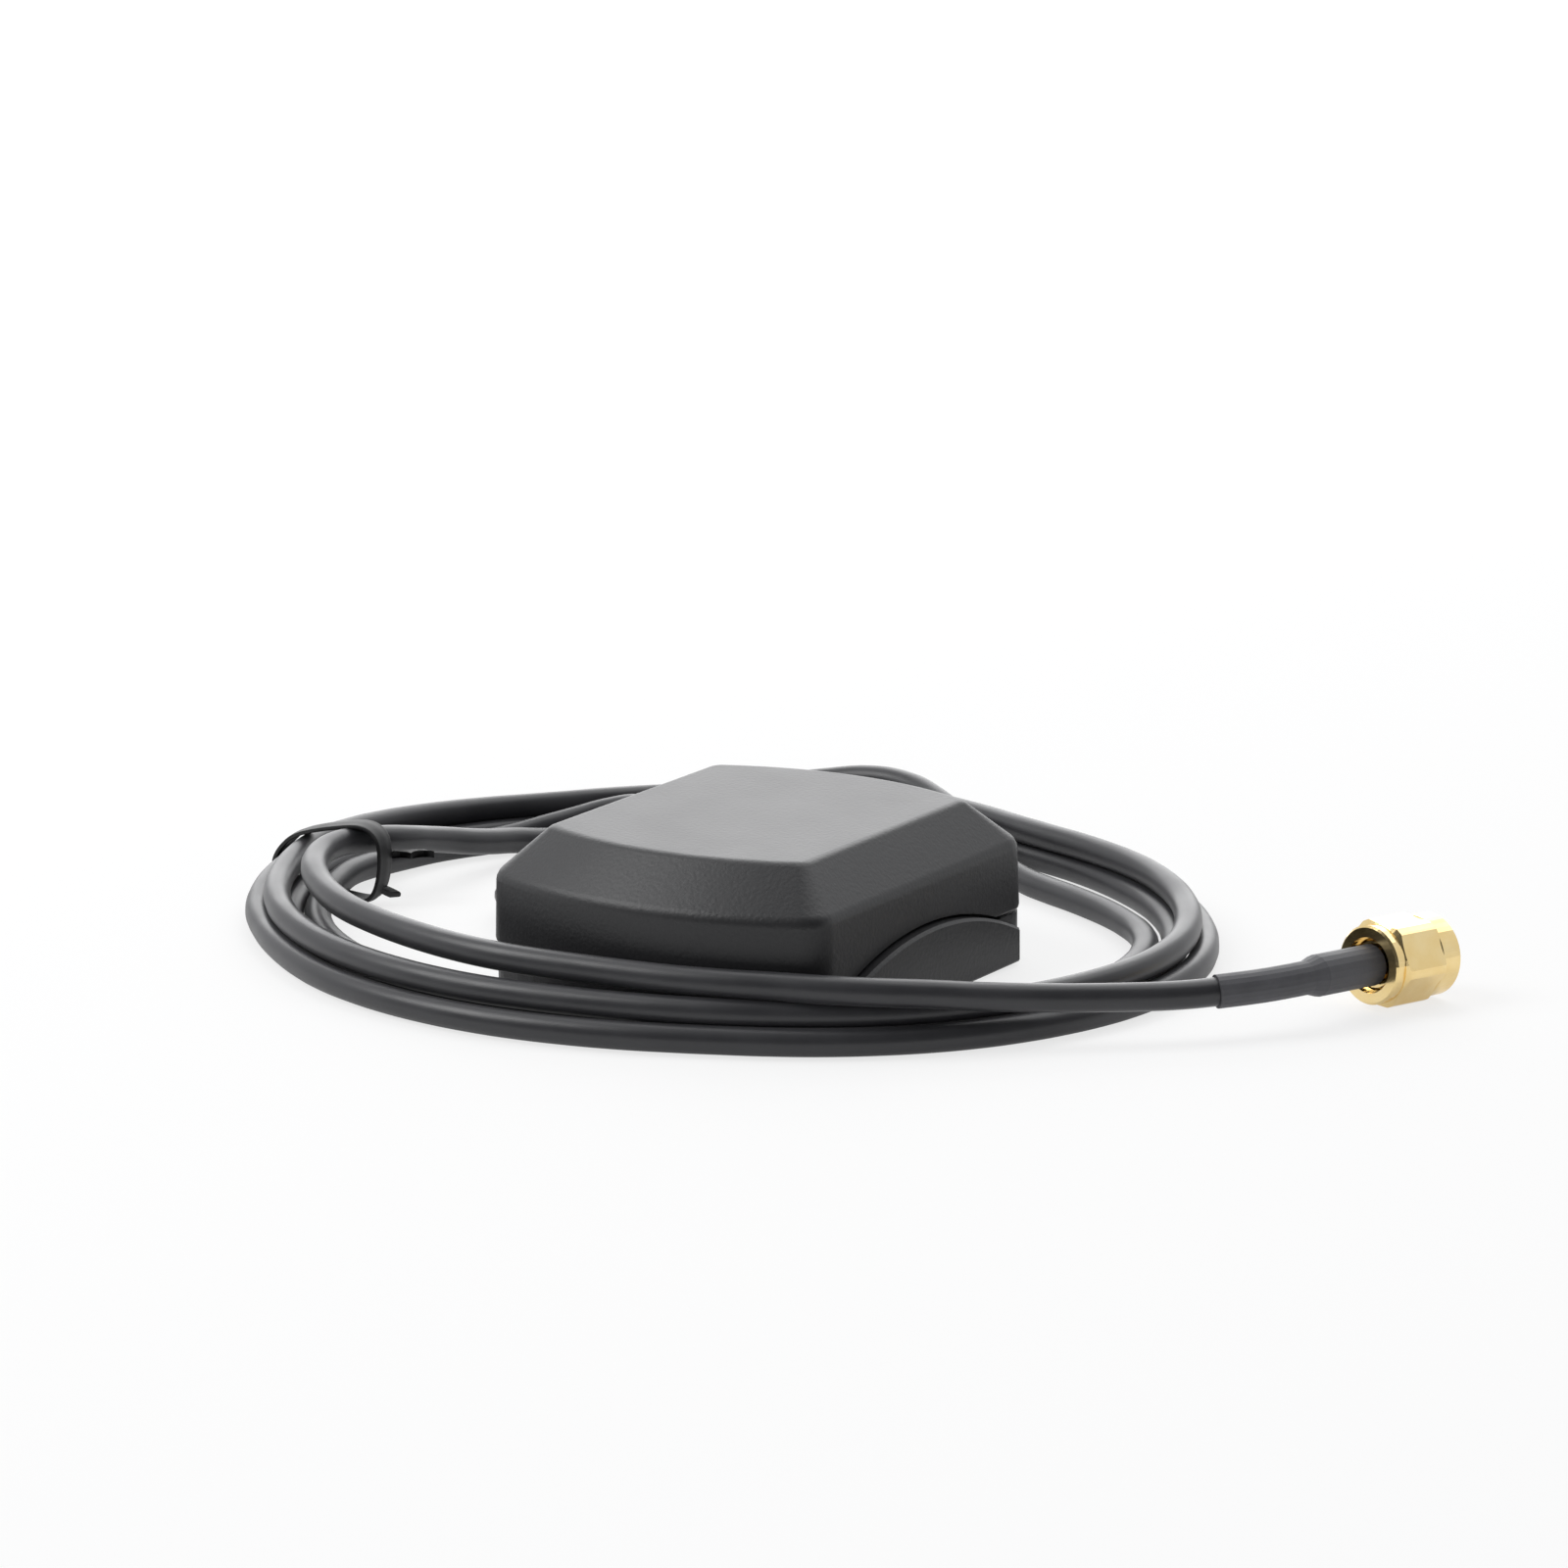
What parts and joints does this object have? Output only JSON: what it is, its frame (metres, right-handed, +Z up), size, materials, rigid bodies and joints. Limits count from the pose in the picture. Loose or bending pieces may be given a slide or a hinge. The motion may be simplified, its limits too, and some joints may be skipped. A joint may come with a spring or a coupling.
{
  "type": "gps antenna",
  "caption": "Small magnetic puck antenna with a chamfered, bow-sided cover, its thin coaxial cable coiled round it and tied, and a gold screw-on coaxial plug.",
  "frame": {"origin": "centre of the puck's underside, on the surface it stands on", "axes": "+Z up, +Y along the puck's longer side, +X away from the cable exit"},
  "size_m": [0.128, 0.0896, 0.0165],
  "materials": {
    "black_plastic": "fine grained, dull",
    "black_rubber": "dull",
    "magnet_nickel": "bright plated",
    "zinc_steel": "bright plated",
    "board_laminate": "lacquered",
    "tinned_sheet": "tinned",
    "black_epoxy": "dull",
    "capacitor_ceramic": "dull",
    "foam_tape": "dull",
    "patch_ceramic": "fired, unglazed",
    "silver_plating": "satin",
    "cable_jacket": "satin",
    "tinned_braid": "woven",
    "white_insulator": "waxy",
    "tie_plastic": "satin",
    "shrink_sleeve": "satin",
    "bright_brass": "bright",
    "gold_plating": "bright plated"
  },
  "bodies": {
    "antenna": {"top_cover": "black_plastic", "base_plate": "black_plastic", "housing_gasket": "black_rubber", "foot_pad": "black_rubber", "magnet": "magnet_nickel", "base_screw_1": "zinc_steel", "base_screw_2": "zinc_steel", "base_screw_3": "zinc_steel", "base_screw_4": "zinc_steel", "amplifier_board": "board_laminate", "shield_can": "tinned_sheet", "amplifier_chip": "black_epoxy", "saw_filter": "tinned_sheet", "chip_capacitor_1": "capacitor_ceramic", "chip_capacitor_2": "capacitor_ceramic", "chip_capacitor_3": "capacitor_ceramic", "chip_capacitor_4": "capacitor_ceramic", "chip_capacitor_5": "capacitor_ceramic", "chip_capacitor_6": "capacitor_ceramic", "adhesive_pad": "foam_tape", "ceramic_patch": "patch_ceramic", "patch_electrode": "silver_plating", "feed_pin": "silver_plating", "cable_grommet": "black_rubber", "cable_entry": "cable_jacket", "cable_braid": "tinned_braid", "cable_core": "white_insulator", "cable_lead": "cable_jacket", "cable_coil": "cable_jacket", "cable_tail": "cable_jacket", "twist_tie": "tie_plastic", "heat_shrink_sleeve": "shrink_sleeve", "crimp_ferrule": "bright_brass", "connector_body": "gold_plating", "snap_ring": "bright_brass", "insulator": "white_insulator", "centre_pin": "gold_plating", "face_gasket": "black_rubber"},
    "nut": {"coupling_nut": "gold_plating"}
  },
  "joints": [
    {"name": "nut_spin", "type": "hinge", "parent": "antenna", "child": "nut", "pos_m": [0.0582, 0.0185, 0.00458], "axis": [0.2585, 0.9646, -0.0523], "continuous": true}
  ]
}
